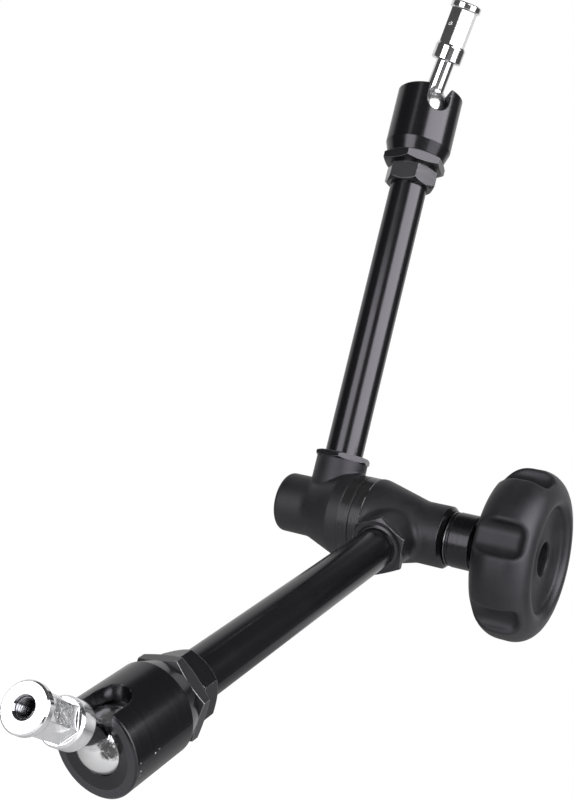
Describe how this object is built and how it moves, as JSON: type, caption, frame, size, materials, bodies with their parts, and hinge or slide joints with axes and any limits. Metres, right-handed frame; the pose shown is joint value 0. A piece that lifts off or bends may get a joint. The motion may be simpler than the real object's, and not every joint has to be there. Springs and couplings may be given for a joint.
{
  "type": "articulating friction arm",
  "caption": "Two tubes hinged at a clamping elbow with a large lobed knob, and a threaded ball stud in a slotted socket at each end, all locked by the knob.",
  "frame": {"origin": "centre of the end face of the lower ball stud, where its threaded hole opens", "axes": "+X along the elbow's axis towards the knob, +Z along the upper arm towards its ball; the lower arm runs forwards and down, towards -Y and -Z"},
  "size_m": [0.1428, 0.2943, 0.3905],
  "materials": {
    "lower_stud_chrome": "polished",
    "upper_stud_chrome": "polished",
    "pad_steel": "turned",
    "socket_black": "glossy black anodised",
    "nut_black": "blackened",
    "fitting_black": "satin black anodised",
    "tube_black": "semi-gloss black anodised",
    "rod_steel": "ground",
    "casting_black": "fine-textured black powder coat, machined rim",
    "ring_fibre": "pressed fibre",
    "wedge_steel": "ground",
    "bolt_steel": "oiled",
    "disc_steel": "spring steel",
    "washer_steel": "bright",
    "sleeve_black": "glossy black anodised",
    "insert_steel": "blackened",
    "knob_grey": "matte charcoal"
  },
  "bodies": {
    "lower_stud": {"lower_ball_stud": "lower_stud_chrome"},
    "lower_pad": {"lower_ball_pad": "pad_steel"},
    "lower_arm": {"lower_socket": "socket_black", "lower_socket_nut": "nut_black", "lower_tube_fitting": "fitting_black", "lower_tube": "tube_black", "lower_elbow_nut": "nut_black", "lower_elbow_casting": "casting_black", "elbow_friction_ring": "ring_fibre"},
    "lower_rod": {"lower_push_rod": "rod_steel"},
    "clamp_sleeve": {"clamp_sleeve": "sleeve_black", "clamp_washer": "washer_steel", "lower_wedge": "wedge_steel"},
    "knob": {"knob": "knob_grey", "knob_insert": "insert_steel"},
    "upper_arm": {"upper_socket": "socket_black", "upper_socket_nut": "nut_black", "upper_tube_fitting": "fitting_black", "upper_tube": "tube_black", "upper_elbow_nut": "nut_black", "upper_elbow_casting": "casting_black"},
    "upper_rod": {"upper_push_rod": "rod_steel"},
    "draw_bolt": {"draw_bolt": "bolt_steel", "bolt_stop_ring": "bolt_steel", "upper_wedge": "wedge_steel", "release_disc_1": "disc_steel", "release_disc_2": "disc_steel", "release_disc_3": "disc_steel", "release_disc_4": "disc_steel"},
    "upper_pad": {"upper_ball_pad": "pad_steel"},
    "upper_stud": {"upper_ball_stud": "upper_stud_chrome"}
  },
  "joints": [
    {"name": "lower_tilt", "type": "hinge", "parent": "lower_stud", "child": "lower_pad", "pos_m": [-0.00628, 0.05405, -0.01324], "axis": [-0.9848, -0.0761, 0.1561], "range_deg": [-49.8, 62.2]},
    {"name": "lower_swivel", "type": "hinge", "parent": "lower_pad", "child": "lower_arm", "pos_m": [-0.00628, 0.05405, -0.01324], "axis": [0, -0.8988, -0.4384], "range_deg": [-7, 0]},
    {"name": "elbow", "type": "hinge", "parent": "lower_arm", "child": "upper_arm", "pos_m": [-0.02708, 0.25241, 0.0835], "axis": [1, 0, 0], "continuous": true},
    {"name": "upper_swivel", "type": "hinge", "parent": "upper_arm", "child": "upper_pad", "pos_m": [-0.04788, 0.25241, 0.30421], "axis": [0, 0, 1], "range_deg": [-7, 0]},
    {"name": "upper_tilt", "type": "hinge", "parent": "upper_pad", "child": "upper_stud", "pos_m": [-0.04788, 0.25241, 0.30421], "axis": [0.6884, 0.7254, 0], "range_deg": [-45, 67]},
    {"name": "sleeve_travel", "type": "slide", "parent": "lower_arm", "child": "clamp_sleeve", "axis": [1, 0, 0], "range_m": [0, 0.00113]},
    {"name": "knob_turn", "type": "hinge", "parent": "clamp_sleeve", "child": "knob", "pos_m": [-0.02708, 0.25241, 0.0835], "axis": [1, 0, 0], "range_deg": [0, 540]},
    {"name": "bolt_travel", "type": "slide", "parent": "upper_arm", "child": "draw_bolt", "axis": [-1, 0, 0], "range_m": [0, 0.00113]},
    {"name": "lower_rod_travel", "type": "slide", "parent": "lower_arm", "child": "lower_rod", "axis": [0, 0.8988, 0.4384], "range_m": [0, 0.00066]},
    {"name": "upper_rod_travel", "type": "slide", "parent": "upper_arm", "child": "upper_rod", "axis": [0, 0, -1], "range_m": [0, 0.00066]}
  ],
  "couplings": [
    {"joint": "sleeve_travel", "follows": "knob_turn", "m_per_rad": 0.00011937},
    {"joint": "bolt_travel", "follows": "knob_turn", "m_per_rad": 0.00011937},
    {"joint": "lower_rod_travel", "follows": "knob_turn", "m_per_rad": 0.000068916},
    {"joint": "upper_rod_travel", "follows": "knob_turn", "m_per_rad": 0.000068916}
  ]
}
